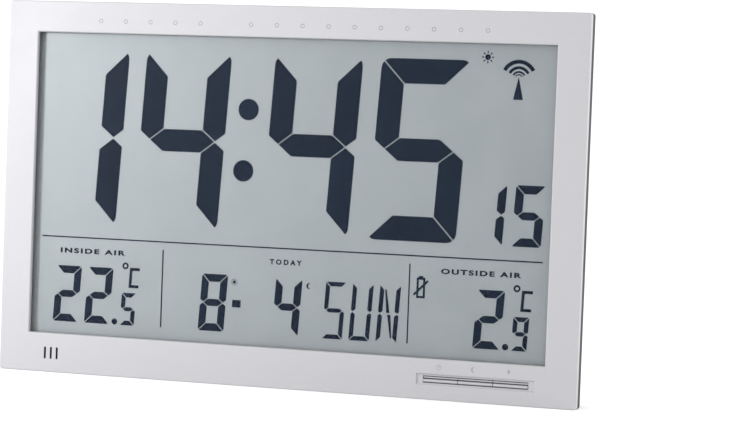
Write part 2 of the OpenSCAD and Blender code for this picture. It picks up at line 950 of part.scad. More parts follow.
// Low dome of sealing resin over the controller
module controller_chip() {
    color("black")
        translate([controller_x, board_back, part_z])
            rotate([-90, 0, 0])
                rotate_extrude()
                    polygon(concat(
                        [[0, 0]],
                        arc(controller_r - controller_h, 0, controller_h, 0, 90),
                        [[0, controller_h]]
                    ));
}

module quartz_crystal() {
    x = controller_x + controller_r + 2 * crystal_r;
    color("silver")
        bar(x, x + crystal_len, board_back + crystal_r, part_z, crystal_r);
}

module capacitors() {
    color("darkslateblue")
        for (x = cap_xs)
            peg(x, part_z, cap_body_r, board_back, board_back + cap_body_h);
}

module switch_housings() {
    color("dimgray")
        for (i = [0:len(key_names) - 1])
            difference() {
                box(key_x(i) - switch_w / 2, key_x(i) + switch_w / 2, switch_y, board_y,
                    key_z - switch_w / 2, key_z + switch_w / 2);
                peg(key_x(i), key_z, plunger_r + plunger_clear, switch_y - cut,
                    switch_y + plunger_in + key_travel + bore_floor);
            }
}

module plunger(i) {
    color("black")
        peg(key_x(i), key_z, plunger_r, plunger_y, switch_y + plunger_in);
}

module key(i) {
    x0 = key_x(i) - key_w / 2;
    x1 = key_x(i) + key_w / 2;
    z0 = key_z - key_h / 2;
    ridge_r = ridge_h / 2;
    ridge_y = tray_y - ridge_out + ridge_r;
    reach = key_h / 2 + key_clear + flange_lap;
    color("lightgray") {
        box(x0, x1, tray_y + face_set, flange_back, z0 + ridge_h + groove_h, z0 + key_h);
        box(x0, x1, ridge_y, flange_back, z0, z0 + ridge_h);
        bar(x0, x1, ridge_y, z0 + ridge_r, ridge_r);
        box(x0, x1, lip_y + flange_gap, flange_back, key_z - reach, key_z + reach);
        box(key_x(i) - stem_w / 2, key_x(i) + stem_w / 2, flange_back - joint_overlap, plunger_y,
            key_z - stem_h / 2, key_z + stem_h / 2);
    }
}

// Sensor bead behind the vent slits, and its lead along the frame to the board
module thermistor() {
    color("saddlebrown")
        translate([sensor_x + sensor_len / 2, sensor_y, vent_z])
            rotate([0, -90, 0])
                rotate_extrude()
                    polygon(concat(
                        [[0, 0], [sensor_r, 0]],
                        arc(0, sensor_len, sensor_r, 0, 90)
                    ));
}

module sensor_lead() {
    start = [sensor_x + sensor_len / 2 + lead_end, sensor_y, vent_z];
    low = 7.2;
    ease = 8;
    end_y = board_y + board_t / 2;
    color("gray")
        tube([
            start,
            start + [ease / 2, 0, 0],
            start + [ease, 0, (low - vent_z) / 2],
            [start[0] + 2 * ease, sensor_y, low],
            [board_x0 - 3 * ease, sensor_y, low],
            [board_x0 - 2 * ease, sensor_y + (end_y - sensor_y) / 4, low],
            [board_x0 - ease, end_y - (end_y - sensor_y) / 4, low],
            [board_x0 - ease / 2, end_y, low],
            [board_x0 - lead_end, end_y, low]
        ], lead_r, lead_sides, [0, 0, 1]);
}

module ferrite_rod() {
    color("dimgray")
        bar(rod_x - rod_len / 2, rod_x + rod_len / 2, rod_y, rod_z, rod_r);
}

module antenna_coil() {
    color("peru")
        difference() {
            bar(rod_x - coil_len / 2, rod_x + coil_len / 2, rod_y, rod_z, coil_r);
            bar(rod_x - coil_len, rod_x + coil_len, rod_y, rod_z, rod_r + coil_clear);
        }
}

module antenna_clips() {
    color("whitesmoke")
        for (x = [rod_x - rod_len / 2 + clip_in, rod_x + rod_len / 2 - clip_in])
            difference() {
                box(x - clip_w / 2, x + clip_w / 2, board_y, rod_y + clip_grip, rod_z - clip_h / 2,
                    rod_z + clip_h / 2);
                bar(x - clip_w, x + clip_w, rod_y, rod_z, rod_r + clip_clear);
            }
}

module time_receiver() {
    color("darkgreen") {
        box(radio_x - radio_w / 2, radio_x + radio_w / 2, board_y, board_y + radio_t,
            rod_z - radio_h / 2, rod_z + radio_h / 2);
        peg(radio_x, rod_z, chip_r, board_y + radio_t - joint_overlap, board_y + radio_t + chip_h);
    }
}

module sensor_receiver() {
    color("darkgreen")
        box(remote_x - remote_w / 2, remote_x + remote_w / 2, board_y, board_y + radio_t,
            rod_z - remote_h / 2, rod_z + remote_h / 2);
}

module receiver_can() {
    x0 = remote_x - remote_w / 2 + 2 * aerial_gap;
    y0 = board_y + radio_t;
    color("silver")
        box(x0, x0 + can_w, y0, y0 + can_t, rod_z - can_h / 2, rod_z + can_h / 2);
}

// Coiled aerial lying on the receiver's board
module receiver_aerial() {
    length = aerial_turns * aerial_pitch;
    lift = aerial_r + aerial_wire_r + aerial_gap;
    color("goldenrod")
        translate([remote_x + remote_w / 2 - length, board_y + radio_t + lift, rod_z])
            tube(coil_path(length, aerial_r, aerial_r, aerial_turns), aerial_wire_r, coil_sides, [1, 0, 0]);
}

module buzzer_ring() {
    color("black")
        difference() {
            peg(buzzer_x, buzzer_z, buzzer_ring_out, inner_back - buzzer_ring_h, inner_back);
            peg(buzzer_x, buzzer_z, buzzer_ring_in, inner_back - buzzer_ring_h - cut, inner_back + cut);
        }
}

module buzzer_disc() {
    y1 = inner_back - buzzer_ring_h;
    color("gold")
        peg(buzzer_x, buzzer_z, buzzer_r, y1 - buzzer_t, y1);
}

module rear_case() {
    color("dimgray")
        difference() {
            union() {
                case_shell();
                bay_block();
                stand_block();
                for (x = [-hanger_span / 2, hanger_span / 2])
                    hanger_block(x);
                for (x = [-boss_x, boss_x], z = boss_zs)
                    peg(x, z, head_r + head_clear + well_wall, boss_back, back_y - tub_edge_r);
                well_webs();
            }
            bay_cuts();
            stand_cuts();
            for (x = [-hanger_span / 2, hanger_span / 2])
                hanger_cuts(x);
            for (x = [-boss_x, boss_x], z = boss_zs) {
                peg(x, z, head_r + head_clear, rim_back, back_y + cut);
                peg(x, z, screw_r + hole_clear, boss_back - cut, rim_back + cut);
            }
            sound_slits();
        }
}

// Rim that follows the frame and then draws in, flat at the base
module rim_block() {
    hull() {
        drawn(frame_back, frame_back + rim_land)
            rounded_outline(half_w, 0, case_h, corner_r);
        drawn(rim_back - rim_edge, rim_back)
            rounded_outline(half_w - rim_taper, 0, case_h - rim_taper, corner_r);
    }
}

// Rim with its joining lip, and the tub behind it, hollowed out
module case_shell() {
    lip_half = half_w - wall - lip_clear;
    difference() {
        union() {
            rim_block();
            translate([0, back_y, 0])
                mirror([0, 1, 0])
                    soft_block(tub_half, 0, tub_top, back_y - rim_back + wall, corner_r, tub_edge_r);
            box(-lip_half, lip_half, frame_back - lip_h, frame_back + joint_overlap,
                wall + lip_clear, case_h - wall - lip_clear);
        }
        box(-half_w + rim_wall, half_w - rim_wall, frame_back - lip_h - cut, rim_back - wall,
            rim_wall, case_h - rim_wall);
        box(-tub_half + wall, tub_half - wall, frame_back, inner_back, wall, tub_top - wall);
    }
}

module bay_block() {
    reach = door_h / 2 + door_clear + pad_rim;
    box(bay_x0 - bay_wall, bay_x1 + bay_wall, bay_floor - bay_floor_t, door_seat,
        bay_z - bay_h / 2 - bay_wall, bay_z + bay_h / 2 + bay_wall);
    box(door_x0 - door_clear - pad_rim, door_x1 + door_travel + door_clear + pad_rim,
        door_seat - pad_t, back_y - tub_edge_r, bay_z - reach, bay_z + reach);
}

module bay_cuts() {
    groove_y = back_y - door_t + tongue_t + tongue_clear;
    half = tongue_len / 2 + tongue_clear;
    reach = door_h / 2 + tongue_out + tongue_clear;
    box(bay_x0, bay_x1, bay_floor, back_y, bay_z - bay_h / 2, bay_z + bay_h / 2);
    box(door_x0 - door_clear, door_x1 + door_travel + door_clear, door_seat, back_y + cut,
        bay_z - door_h / 2 - door_clear, bay_z + door_h / 2 + door_clear);
    for (x = tongue_xs) {
        box(x - half, x + half + door_travel, door_seat, groove_y, bay_z - reach, bay_z + reach);
        box(x - half + door_travel, x + half + door_travel, door_seat, back_y + cut, bay_z - reach,
            bay_z + reach);
    }
    for (z = cell_zs)
        box(bay_x1 - cut, bay_x1 + bay_wall + cut, tail_y - tail_t / 2 - end_clear,
            tail_y + tail_t / 2 + end_clear,
            z - tail_w / 2 - end_clear, z + tail_w / 2 + end_clear);
}

module stand_block() {
    box(-recess_half - ear_t, recess_half + ear_t, stand_floor - recess_t, back_y - tub_edge_r, 0,
        recess_top + recess_t);
}

module stand_cuts() {
    box(-recess_half, recess_half, stand_floor, back_y + cut, -cut, recess_top);
    bar(-recess_half - pin_hold, recess_half + pin_hold, pin_y, stand_z, pin_r + thread_clear);
}

module hanger_block(x) {
    half = hanger_r + pocket_clear + pocket_wall;
    box(x - half, x + half, inner_back - hanger_depth - pocket_wall, inner_back + joint_overlap,
        hanger_z - half, hanger_z + hanger_len + half);
}

// Keyhole through the back wall, and the pocket for the screw's head behind it
module hanger_cuts(x) {
    half = hanger_r + pocket_clear;
    y0 = inner_back - hanger_depth;
    box(x - half, x + half, y0, inner_back, hanger_z, hanger_z + hanger_len);
    for (z = [hanger_z, hanger_z + hanger_len])
        peg(x, z, half, y0, inner_back);
    peg(x, hanger_z, hanger_r, inner_back - cut, back_y + cut);
    peg(x, hanger_z + hanger_len, hanger_slot / 2, inner_back - cut, back_y + cut);
    box(x - hanger_slot / 2, x + hanger_slot / 2, inner_back - cut, back_y + cut, hanger_z,
        hanger_z + hanger_len);
}

// Webs that tie the screw wells to the tub's walls
module well_webs() {
    for (x0 = [-tub_half + wall / 2, boss_x], z = boss_zs)
        box(x0, x0 + tub_half - wall / 2 - boss_x, boss_back, inner_back + joint_overlap,
            z - web_t / 2, z + web_t / 2);
    for (x = [-boss_x, boss_x]) {
        box(x - web_t / 2, x + web_t / 2, boss_back, inner_back + joint_overlap, wall / 2, boss_z);
        box(x - web_t / 2, x + web_t / 2, boss_back, inner_back + joint_overlap, case_h - boss_z,
            tub_top - wall / 2);
    }
}

module sound_slits() {
    first = -(slit_count - 1) / 2 * slit_pitch;
    for (i = [0:slit_count - 1])
        box(buzzer_x + first + i * slit_pitch - slit_w / 2, buzzer_x + first + i * slit_pitch + slit_w / 2,
            inner_back - cut, back_y + cut, buzzer_z - slit_h / 2, buzzer_z + slit_h / 2);
}

module battery_door() {
    y0 = back_y - door_t;
    reach = door_h / 2 + tongue_out;
    color("dimgray")
        difference() {
            union() {
                box(door_x0, door_x1, y0, back_y, bay_z - door_h / 2, bay_z + door_h / 2);
                for (x = tongue_xs)
                    box(x - tongue_len / 2, x + tongue_len / 2, y0, y0 + tongue_t, bay_z - reach,
                        bay_z + reach);
            }
            for (i = [1:grip_count])
                box(door_x1 - i * grip_pitch - grip_w, door_x1 - i * grip_pitch,
                    back_y - grip_depth, back_y + cut,
                    bay_z - door_h / 4, bay_z + door_h / 4);
        }
}

// A cell along X whose cap points to the given side
module battery_cell(z, side) {
    end = bay_x + side * (bay_len / 2 - contact_t - end_clear);
    translate([end, cell_cy, z])
        rotate([0, -90 * side, 0]) {
            translate([0, 0, cap_len])
                cylinder(r = cell_r, h = cell_len);
            cylinder(r = cap_r, h = cap_len + joint_overlap);
        }
}

module battery_cell_upper() {
    color("darkgoldenrod")
        battery_cell(cell_zs[0], 1);
}

module battery_cell_lower() {
    color("darkgoldenrod")
        battery_cell(cell_zs[1], -1);
}

// Tapering coils between the plates and the flat ends of the cells
module contact_springs() {
    path = coil_path(spring_rise, spring_r0, spring_r1, spring_turns);
    shift = contact_t + spring_wire_r + end_clear / 2;
    color("silver") {
        translate([bay_x0 + shift, cell_cy, cell_zs[0]])
            tube(path, spring_wire_r, coil_sides, [1, 0, 0]);
        translate([bay_x1 - shift, cell_cy, cell_zs[1]])
            rotate([0, 0, 180])
                tube(path, spring_wire_r, coil_sides, [1, 0, 0]);
    }
}

// One plate joins the cells at the left, two with tails lead out at the right
module contact_plates() {
    color("silver") {
        box(bay_x0, bay_x0 + contact_t, cell_cy - plate_w / 2, cell_cy + plate_w / 2,
            cell_zs[1] - plate_w / 2, cell_zs[0] + plate_w / 2);
        for (z = cell_zs) {
            box(bay_x1 - contact_t, bay_x1, cell_cy - plate_w / 2, cell_cy + plate_w / 2,
                z - plate_w / 2, z + plate_w / 2);
            box(bay_x1 - contact_t, bay_x1 + bay_wall + tail_out, tail_y - tail_t / 2, tail_y + tail_t / 2,
                z - tail_w / 2, z + tail_w / 2);
        }
    }
}

// Lead from a contact tail down to the main board
module battery_lead(z, spread) {
    start = [bay_x1 + bay_wall + tail_out + lead_end, tail_y, z];
    x = start[0] + spread;
    low_z = board_z + board_h - 2 * board_hole_in;
    ease = 4;
    tube([
        start,
        start + [spread / 2, 0, 0],
        [x, tail_y, z - ease],
        [x, tail_y, z - 2 * ease],
        [x, tail_y + ease / 2, low_z + 2 * ease],
        [x, tail_y + ease / 2, low_z + ease],
        [x, tail_y, low_z + ease / 4],
        [x, board_back + ease / 2, low_z],
        [x, board_back + lead_end, low_z]
    ], lead_r, lead_sides, [1, 0.2, 0.1]);
}

module battery_lead_red() {
    color("firebrick")
        battery_lead(cell_zs[0], lead_spread_red);
}

module battery_lead_black() {
    color("black")
        battery_lead(cell_zs[1], lead_spread_black);
}

// Screw along Y whose head lies behind its seat, with a cross in the head
module screw(x, z, seat, r, length, head, height) {
    slot = r / 2;
    difference() {
        union() {
            peg(x, z, r, seat - length, seat + height / 2);
            peg(x, z, head, seat, seat + height);
        }
        box(x - slot / 2, x + slot / 2, seat + height / 2, seat + height + cut, z - head * 2 / 3,
            z + head * 2 / 3);
        box(x - head * 2 / 3, x + head * 2 / 3, seat + height / 2, seat + height + cut,
            z - slot / 2, z + slot / 2);
    }
}

module case_screws() {
    color("gray")
        for (x = [-boss_x, boss_x], z = boss_zs)
            screw(x, z, rim_back, screw_r, screw_len, head_r, head_h);
}

module board_screws() {
    color("gray")
        for (x = board_hole_xs) {
            screw(x, board_low_z, board_back, small_r, small_len, small_head_r, small_head_h);
            screw(x, board_high_z, board_back, small_r, board_t + holder_t - tip_clear,
                small_head_r, small_head_h);
        }
}

module holder_screws() {
    color("gray") {
        for (x = holder_boss_xs)
            screw(x, holder_boss_z, board_y, small_r, small_len, small_head_r, small_head_h);
        screw(tab_x, tab_z, board_y, small_r, small_len, small_head_r, small_head_h);
    }
}

module table_stand() {
    half = stand_w / 2;
    color("dimgray")
        difference() {
            union() {
                box(-half, half, stand_front, stand_back, foot_z, stand_z);
                bar(-half, half, pin_y, stand_z, barrel_r);
                box(-half, half, stand_front, pin_y, stand_z, stand_z + heel_h);
            }
            bar(-half - cut, half + cut, pin_y, stand_z, pin_r + pin_clear);
            peg(0, foot_z, notch_r, stand_front - cut, stand_back + cut);
            for (i = [0:2])
                box(-stand_groove_w / 2, stand_groove_w / 2, stand_back - stand_groove_depth,
                    stand_back + cut,
                    stand_groove_z + i * stand_groove_pitch,
                        stand_groove_z + i * stand_groove_pitch + stand_groove_h);
        }
}

module stand_pin() {
    color("silver")
        bar(-recess_half - pin_hold, recess_half + pin_hold, pin_y, stand_z, pin_r);
}

front_frame();
window_gasket();
lcd_front_film();
lcd_front_glass();
lcd_segments();
lcd_rear_glass();
lcd_reflector();
lcd_holder();
contact_strip();
main_board();
controller_chip();
quartz_crystal();
capacitors();
switch_housings();
plunger(0);  // plunger_left
plunger(1);  // plunger_middle
plunger(2);  // plunger_right
key(0);  // key_left
key(1);  // key_middle
key(2);  // key_right
thermistor();
sensor_lead();
ferrite_rod();
antenna_coil();
antenna_clips();
time_receiver();
sensor_receiver();
receiver_can();
receiver_aerial();
buzzer_disc();
buzzer_ring();
rear_case();
battery_door();
battery_cell_upper();
battery_cell_lower();
contact_springs();
contact_plates();
battery_lead_red();
battery_lead_black();
case_screws();
board_screws();
holder_screws();
table_stand();
stand_pin();
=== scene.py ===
"""Looks of the radio-controlled wall clock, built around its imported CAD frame. Lengths are in metres."""

import json
import math

import bmesh
import bpy
from mathutils import Matrix, Vector

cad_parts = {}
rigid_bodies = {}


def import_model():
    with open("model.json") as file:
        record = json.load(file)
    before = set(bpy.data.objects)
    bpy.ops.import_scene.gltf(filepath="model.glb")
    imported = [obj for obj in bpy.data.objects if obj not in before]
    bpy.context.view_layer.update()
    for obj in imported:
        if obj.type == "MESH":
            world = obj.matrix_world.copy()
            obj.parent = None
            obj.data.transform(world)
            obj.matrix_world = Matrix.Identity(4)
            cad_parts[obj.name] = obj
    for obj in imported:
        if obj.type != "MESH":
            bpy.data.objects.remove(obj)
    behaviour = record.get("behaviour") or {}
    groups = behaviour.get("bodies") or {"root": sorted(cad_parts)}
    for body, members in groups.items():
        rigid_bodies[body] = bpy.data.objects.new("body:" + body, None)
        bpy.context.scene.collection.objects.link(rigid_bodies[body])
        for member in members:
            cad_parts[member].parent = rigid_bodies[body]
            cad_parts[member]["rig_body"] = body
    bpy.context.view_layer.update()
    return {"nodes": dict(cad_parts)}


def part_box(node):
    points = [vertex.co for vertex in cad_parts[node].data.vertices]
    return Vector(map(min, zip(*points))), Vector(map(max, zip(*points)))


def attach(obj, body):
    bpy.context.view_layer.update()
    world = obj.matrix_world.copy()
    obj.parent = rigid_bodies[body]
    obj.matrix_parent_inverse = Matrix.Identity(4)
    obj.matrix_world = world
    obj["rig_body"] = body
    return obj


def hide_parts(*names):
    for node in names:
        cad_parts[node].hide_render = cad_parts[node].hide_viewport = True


MM = 0.001

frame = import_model()
nodes = frame["nodes"]
slots = {name: node.material_slots[0].material.name for name, node in nodes.items()}

# Levels of the case, display and keys along Y, from the frame
FRONT_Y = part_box("front_frame")[0].y
INK_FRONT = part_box("lcd_segments")[0].y
INK_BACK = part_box("lcd_segments")[1].y
KEY_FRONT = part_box("key_middle")[0].y

# The camera of the photograph
CAMERA_PLACE = Vector((0.4646, -1.3322, 0.1593))
CAMERA_AHEAD = Vector((-0.29485, 0.95487, -0.03588)).normalized()
CAMERA_ROLL = math.radians(2.17)
CAMERA_LENS = 111.66
SENSOR_WIDTH = 36.0

# Rounding of the softened pieces' edges
EDGE_ROUNDING = {
    "front_frame": 0.22 * MM,
    "rear_case": 0.15 * MM,
    "window_gasket": 0.2 * MM,
    "battery_door": 0.2 * MM,
    "table_stand": 0.25 * MM,
    "key_left": 0.1 * MM,
    "key_middle": 0.1 * MM,
    "key_right": 0.1 * MM,
}
FILM_ROUNDING = 0.03 * MM
GLASS_ROUNDING = 0.2 * MM
ROUNDING_STEPS = 2
ROUND_PROFILE = 0.5
WELD = 0.002 * MM
FLAT_ANGLE = math.radians(0.4)
SHARP_ANGLE = math.radians(35.0)
BEVEL_ANGLE = math.radians(40.0)

# Air that keeps the display's clear layers apart
LAYER_AIR = 0.02 * MM

# Labels in the display, in millimetres: words, letter spacing, left end and right end
LABELS = (
    ("INSIDE AIR", 1.3, -146.9, -103.5),
    ("TODAY", 1.6, -8.9, 11.6),
    ("OUTSIDE AIR", 1.28, 98.6, 147.3),
)
LABEL_LOW = 74.4
LABEL_HIGH = 77.6
LABEL_WEIGHT = 0.042
LABEL_HALF_DEPTH = 0.5

# Small signs beside the date, in millimetres
DATE_SUN_X = -31.2
DATE_SUN_Z = 62.4
DATE_SUN_RADIUS = 2.1
DATE_MOON_X = 16.8
DATE_MOON_Z = 62.6
DATE_MOON_RADIUS = 1.8

# Prints on the front face: how far they stand out and reach in
PRINT_RISE = 0.02 * MM
PRINT_ROOT = 0.05 * MM

# Row of rings above the window, with one place left empty, in millimetres
ROW_COUNT = 16
ROW_GAP = 5
ROW_LEFT = -122.6
ROW_PITCH = 16.35
ROW_Z = 218.2
ROW_RADIUS = 1.3
ROW_STROKE = 0.32

# Signs above the keys, in millimetres
KEY_SIGNS_X = (100.8, 122.0, 143.2)
KEY_SIGNS_Z = 19.5
KEY_SIGN_RADIUS = 1.6
BELL_SIZE = 1.7
BELL_RAISE = 0.3

# Shapes of the signs, as shares of their radius or size
MOON_BITE_SHIFT = 0.5
MOON_BITE_RADIUS = 0.87
SUN_DISC = 0.45
SUN_RAYS = 8
SUN_RAY_START = 0.62
SUN_RAY_HALF = 0.11
BELL_DOME = 0.42
BELL_DOME_RAISE = 0.25
BELL_WAIST_DROP = 0.3
BELL_RIM = 0.62
BELL_RIM_DROP = 0.55
BELL_CLAPPER = 0.17
BELL_CLAPPER_DROP = 0.82
DIAL_INNER = 0.76
DIAL_HAND_HALF = 0.12
DIAL_MINUTE_HAND = 0.6
DIAL_HOUR_HAND = 0.5

# The keys' colour turns dark a little way behind their faces: painted shade for the recess they sit in
RECESS_SHADE_START = KEY_FRONT + 1.2 * MM
RECESS_SHADE_FADE = 0.2 * MM

# Colour sockets of Blender's Mix node
MIX_FIRST = 6
MIX_SECOND = 7
MIX_RESULT = 2

# Surface groups: the middle range of a noise, and the shares of fine and broad grain
NOISE_LOW = 0.3
NOISE_HIGH = 0.7
FINE_SHARE = 0.45
BROAD_SHARE = 0.55
DRAWN_STRETCH = (0.06, 1.0, 1.0)
RELIEF_STRENGTH = 0.6

# Colours that several finishes share
SILVER_LIGHT = (0.400, 0.398, 0.416)
SILVER_DARK = (0.358, 0.356, 0.372)
CASE_LIGHT = (0.038, 0.038, 0.040)
CASE_DARK = (0.032, 0.032, 0.034)

# Studio: each light's place, target, side lengths and watts
KEY_LIGHT = ((-0.62, -0.6, 0.29), (-0.05, 0.0, 0.12), (0.15, 0.15), 5.0)
SIDE_LIGHT = ((0.75, 0.06, 0.28), (0.18, 0.0, 0.12), (0.4, 0.4), 2.5)
STUDIO_WHITE = 1.15
FLOOR_REACH = 6.0
FLOOR_SQUARES = 8

# Light passes the film and both glasses on its way in and again on its way out
CLEAR_LAYERS = 32


def add_node(tree, kind, **settings):
    made = tree.nodes.new(kind)
    for name, value in settings.items():
        setattr(made, name, value)
    return made


def feed(tree, made, **sources):
    """Links or sets sockets, named with underscores for spaces."""
    for name, source in sources.items():
        socket = made.inputs[name.replace("_", " ")]
        if isinstance(source, bpy.types.NodeSocket):
            tree.links.new(source, socket)
        else:
            socket.default_value = source


def opaque(colour):
    return (*colour, 1.0)


def mixed_colour(tree, share, first, second):
    """Mixes a linked colour with a second one, which is linked or a plain value."""
    blend = add_node(tree, "ShaderNodeMix", data_type="RGBA")
    tree.links.new(share, blend.inputs["Factor"])
    tree.links.new(first, blend.inputs[MIX_FIRST])
    if isinstance(second, bpy.types.NodeSocket):
        tree.links.new(second, blend.inputs[MIX_SECOND])
    else:
        blend.inputs[MIX_SECOND].default_value = opaque(second)
    return blend.outputs[MIX_RESULT]


def object_place(tree):
    return add_node(tree, "ShaderNodeTexCoord").outputs["Object"]


def noise(tree, place, scale, detail):
    made = add_node(tree, "ShaderNodeTexNoise")
    feed(tree, made, Vector=place, Scale=scale, Detail=detail)
    return made.outputs["Fac"]


def sharpened(tree, value, low, high):
    made = add_node(tree, "ShaderNodeMapRange", interpolation_type="SMOOTHSTEP")
    feed(tree, made, Value=value, From_Min=low, From_Max=high)
    return made.outputs["Result"]


def start_group(name):
    """An empty surface group: two colours, two grain sizes and two roughnesses go in."""
    tree = bpy.data.node_groups.new(name, "ShaderNodeTree")
    for socket in ("Light", "Dark"):
        tree.interface.new_socket(socket, in_out="INPUT", socket_type="NodeSocketColor")
    for socket in ("Scale", "Broad", "Smooth", "Rough"):
        tree.interface.new_socket(socket, in_out="INPUT", socket_type="NodeSocketFloat")
    tree.interface.new_socket("Colour", in_out="OUTPUT", socket_type="NodeSocketColor")
    for socket in ("Roughness", "Height"):
        tree.interface.new_socket(socket, in_out="OUTPUT", socket_type="NodeSocketFloat")
    return tree, tree.nodes.new("NodeGroupInput"), tree.nodes.new("NodeGroupOutput")


def end_group(tree, given, result, tone, wear, height):
    """Mixes the two colours by tone and the two roughnesses by wear."""
    shade = mixed_colour(tree, tone, given.outputs["Dark"], given.outputs["Light"])
    spread = add_node(tree, "ShaderNodeMapRange")
    feed(
        tree,
        spread,
        Value=wear,
        From_Min=NOISE_LOW,
        From_Max=NOISE_HIGH,
        To_Min=given.outputs["Smooth"],
        To_Max=given.outputs["Rough"],
    )
    feed(tree, result, Colour=shade, Roughness=spread.outputs["Result"], Height=height)
    return tree


def make_moulded_grain():
    """Spark-eroded plastic: a fine grain, with broad changes of shade."""
    tree, given, result = start_group("moulded_grain")
    place = object_place(tree)
    fine = noise(tree, place, given.outputs["Scale"], detail=3.0)
    broad = noise(tree, place, given.outputs["Broad"], detail=4.0)
    broad_part = add_node(tree, "ShaderNodeMath", operation="MULTIPLY")
    tree.links.new(broad, broad_part.inputs[0])
    broad_part.inputs[1].default_value = BROAD_SHARE
    both = add_node(tree, "ShaderNodeMath", operation="MULTIPLY_ADD")
    tree.links.new(fine, both.inputs[0])
    both.inputs[1].default_value = FINE_SHARE
    tree.links.new(broad_part.outputs[0], both.inputs[2])
    tone = sharpened(tree, both.outputs[0], NOISE_LOW, NOISE_HIGH)
    return end_group(tree, given, result, tone, broad, fine)


def make_metal_flake():
    """Metallic paint: tiny flakes that each catch the light a little differently."""
    tree, given, result = start_group("metal_flake")
    place = object_place(tree)
    flakes = add_node(tree, "ShaderNodeTexVoronoi")
    feed(tree, flakes, Vector=place, Scale=given.outputs["Scale"])
    shade = add_node(tree, "ShaderNodeSeparateColor")
    feed(tree, shade, Color=flakes.outputs["Color"])
    broad = noise(tree, place, given.outputs["Broad"], detail=3.0)
    return end_group(tree, given, result, shade.outputs["Red"], broad, shade.outputs["Green"])


def make_drawn_metal():
    """Drawn or rolled metal: fine lines along one direction."""
    tree, given, result = start_group("drawn_metal")
    place = object_place(tree)
    stretch = add_node(tree, "ShaderNodeMapping")
    feed(tree, stretch, Vector=place, Scale=DRAWN_STRETCH)
    lines = noise(tree, stretch.outputs["Vector"], given.outputs["Scale"], detail=2.0)
    broad = noise(tree, place, given.outputs["Broad"], detail=3.0)
    return end_group(tree, given, result, broad, lines, lines)


MOULDED_GRAIN = make_moulded_grain()
METAL_FLAKE = make_metal_flake()
DRAWN_METAL = make_drawn_metal()


def surfaced(name, group, values, relief, **shader_values):
    """A material whose colour, roughness and relief come from a surface group."""
    material = bpy.data.materials.new(name)
    material.use_nodes = True
    tree = material.node_tree
    surface = add_node(tree, "ShaderNodeGroup", node_tree=group)
    feed(tree, surface, **values)
    bump = add_node(tree, "ShaderNodeBump")
    feed(tree, bump, Strength=RELIEF_STRENGTH, Distance=relief, Height=surface.outputs["Height"])
    feed(
        tree,
        tree.nodes["Principled BSDF"],
        Base_Color=surface.outputs["Colour"],
        Roughness=surface.outputs["Roughness"],
        Normal=bump.outputs["Normal"],
        **shader_values,
    )
    return material


def surface_values(light, dark, smooth, rough, scale, broad):
    return {
        "Light": opaque(light),
        "Dark": opaque(dark),
        "Scale": scale,
        "Broad": broad,
        "Smooth": smooth,
        "Rough": rough,
    }


def plastic(name, light, dark, smooth, rough, relief=0.02 * MM, scale=2600.0, **shader_values):
    """Moulded plastic, resin, rubber, foam, glass or ink."""
    values = surface_values(light, dark, smooth, rough, scale, broad=45.0)
    return surfaced(name, MOULDED_GRAIN, values, relief, **shader_values)


def paint(name, light, dark, smooth, rough):
    """Metallic paint on plastic."""
    values = surface_values(light, dark, smooth, rough, scale=5200.0, broad=30.0)
    return surfaced(name, METAL_FLAKE, values, relief=0.004 * MM, Metallic=0.12)


def metal(name, light, dark, smooth, rough, relief=0.006 * MM, scale=4000.0):
    """Bare metal with its drawing or rolling lines."""
    values = surface_values(light, dark, smooth, rough, scale, broad=300.0)
    return surfaced(name, DRAWN_METAL, values, relief, Metallic=1.0)


def paint_recess_shade(material, shade_colour):
    """Darkens the colour behind a level along Y, counted along Y: painted shade for a recess."""
    tree = material.node_tree
    painted = tree.nodes["Principled BSDF"].inputs["Base Color"]
    place = add_node(tree, "ShaderNodeSeparateXYZ")
    feed(tree, place, Vector=object_place(tree))
    recess_shade = sharpened(tree, place.outputs["Y"], RECESS_SHADE_START, RECESS_SHADE_START + RECESS_SHADE_FADE)
    tree.links.new(mixed_colour(tree, recess_shade, painted.links[0].from_socket, shade_colour), painted)
    return material


def case_plastic(name, smooth, rough):
    return plastic(name, CASE_LIGHT, CASE_DARK, smooth, rough, Specular_IOR_Level=0.12)


def case_finishes():
    silver_key = paint("silver_key", SILVER_LIGHT, SILVER_DARK, smooth=0.34, rough=0.42)
    return {
        "silver_frame": paint("silver_frame", SILVER_LIGHT, SILVER_DARK, smooth=0.54, rough=0.62),
        # Painted shade: the keys' colour darkens behind their faces in place of their recess's shadow
        "silver_key": paint_recess_shade(silver_key, CASE_LIGHT),
        "dark_case": case_plastic("dark_case", smooth=0.50, rough=0.64),
        "dark_door": case_plastic("dark_door", smooth=0.48, rough=0.62),
        "dark_stand": case_plastic("dark_stand", smooth=0.46, rough=0.60),
        "gasket_foam": plastic(
            "gasket_foam",
            light=(0.045, 0.047, 0.046),
            dark=(0.025, 0.026, 0.026),
            smooth=0.80,
            rough=0.95,
            relief=0.1 * MM,
            scale=1800.0,
        ),
        "row_ink": plastic(
            "row_ink", light=(0.17, 0.17, 0.18), dark=(0.14, 0.14, 0.15), smooth=0.45, rough=0.60
        ),
        "sign_ink": plastic(
            "sign_ink", light=(0.26, 0.26, 0.27), dark=(0.23, 0.23, 0.24), smooth=0.45, rough=0.60
        ),
    }


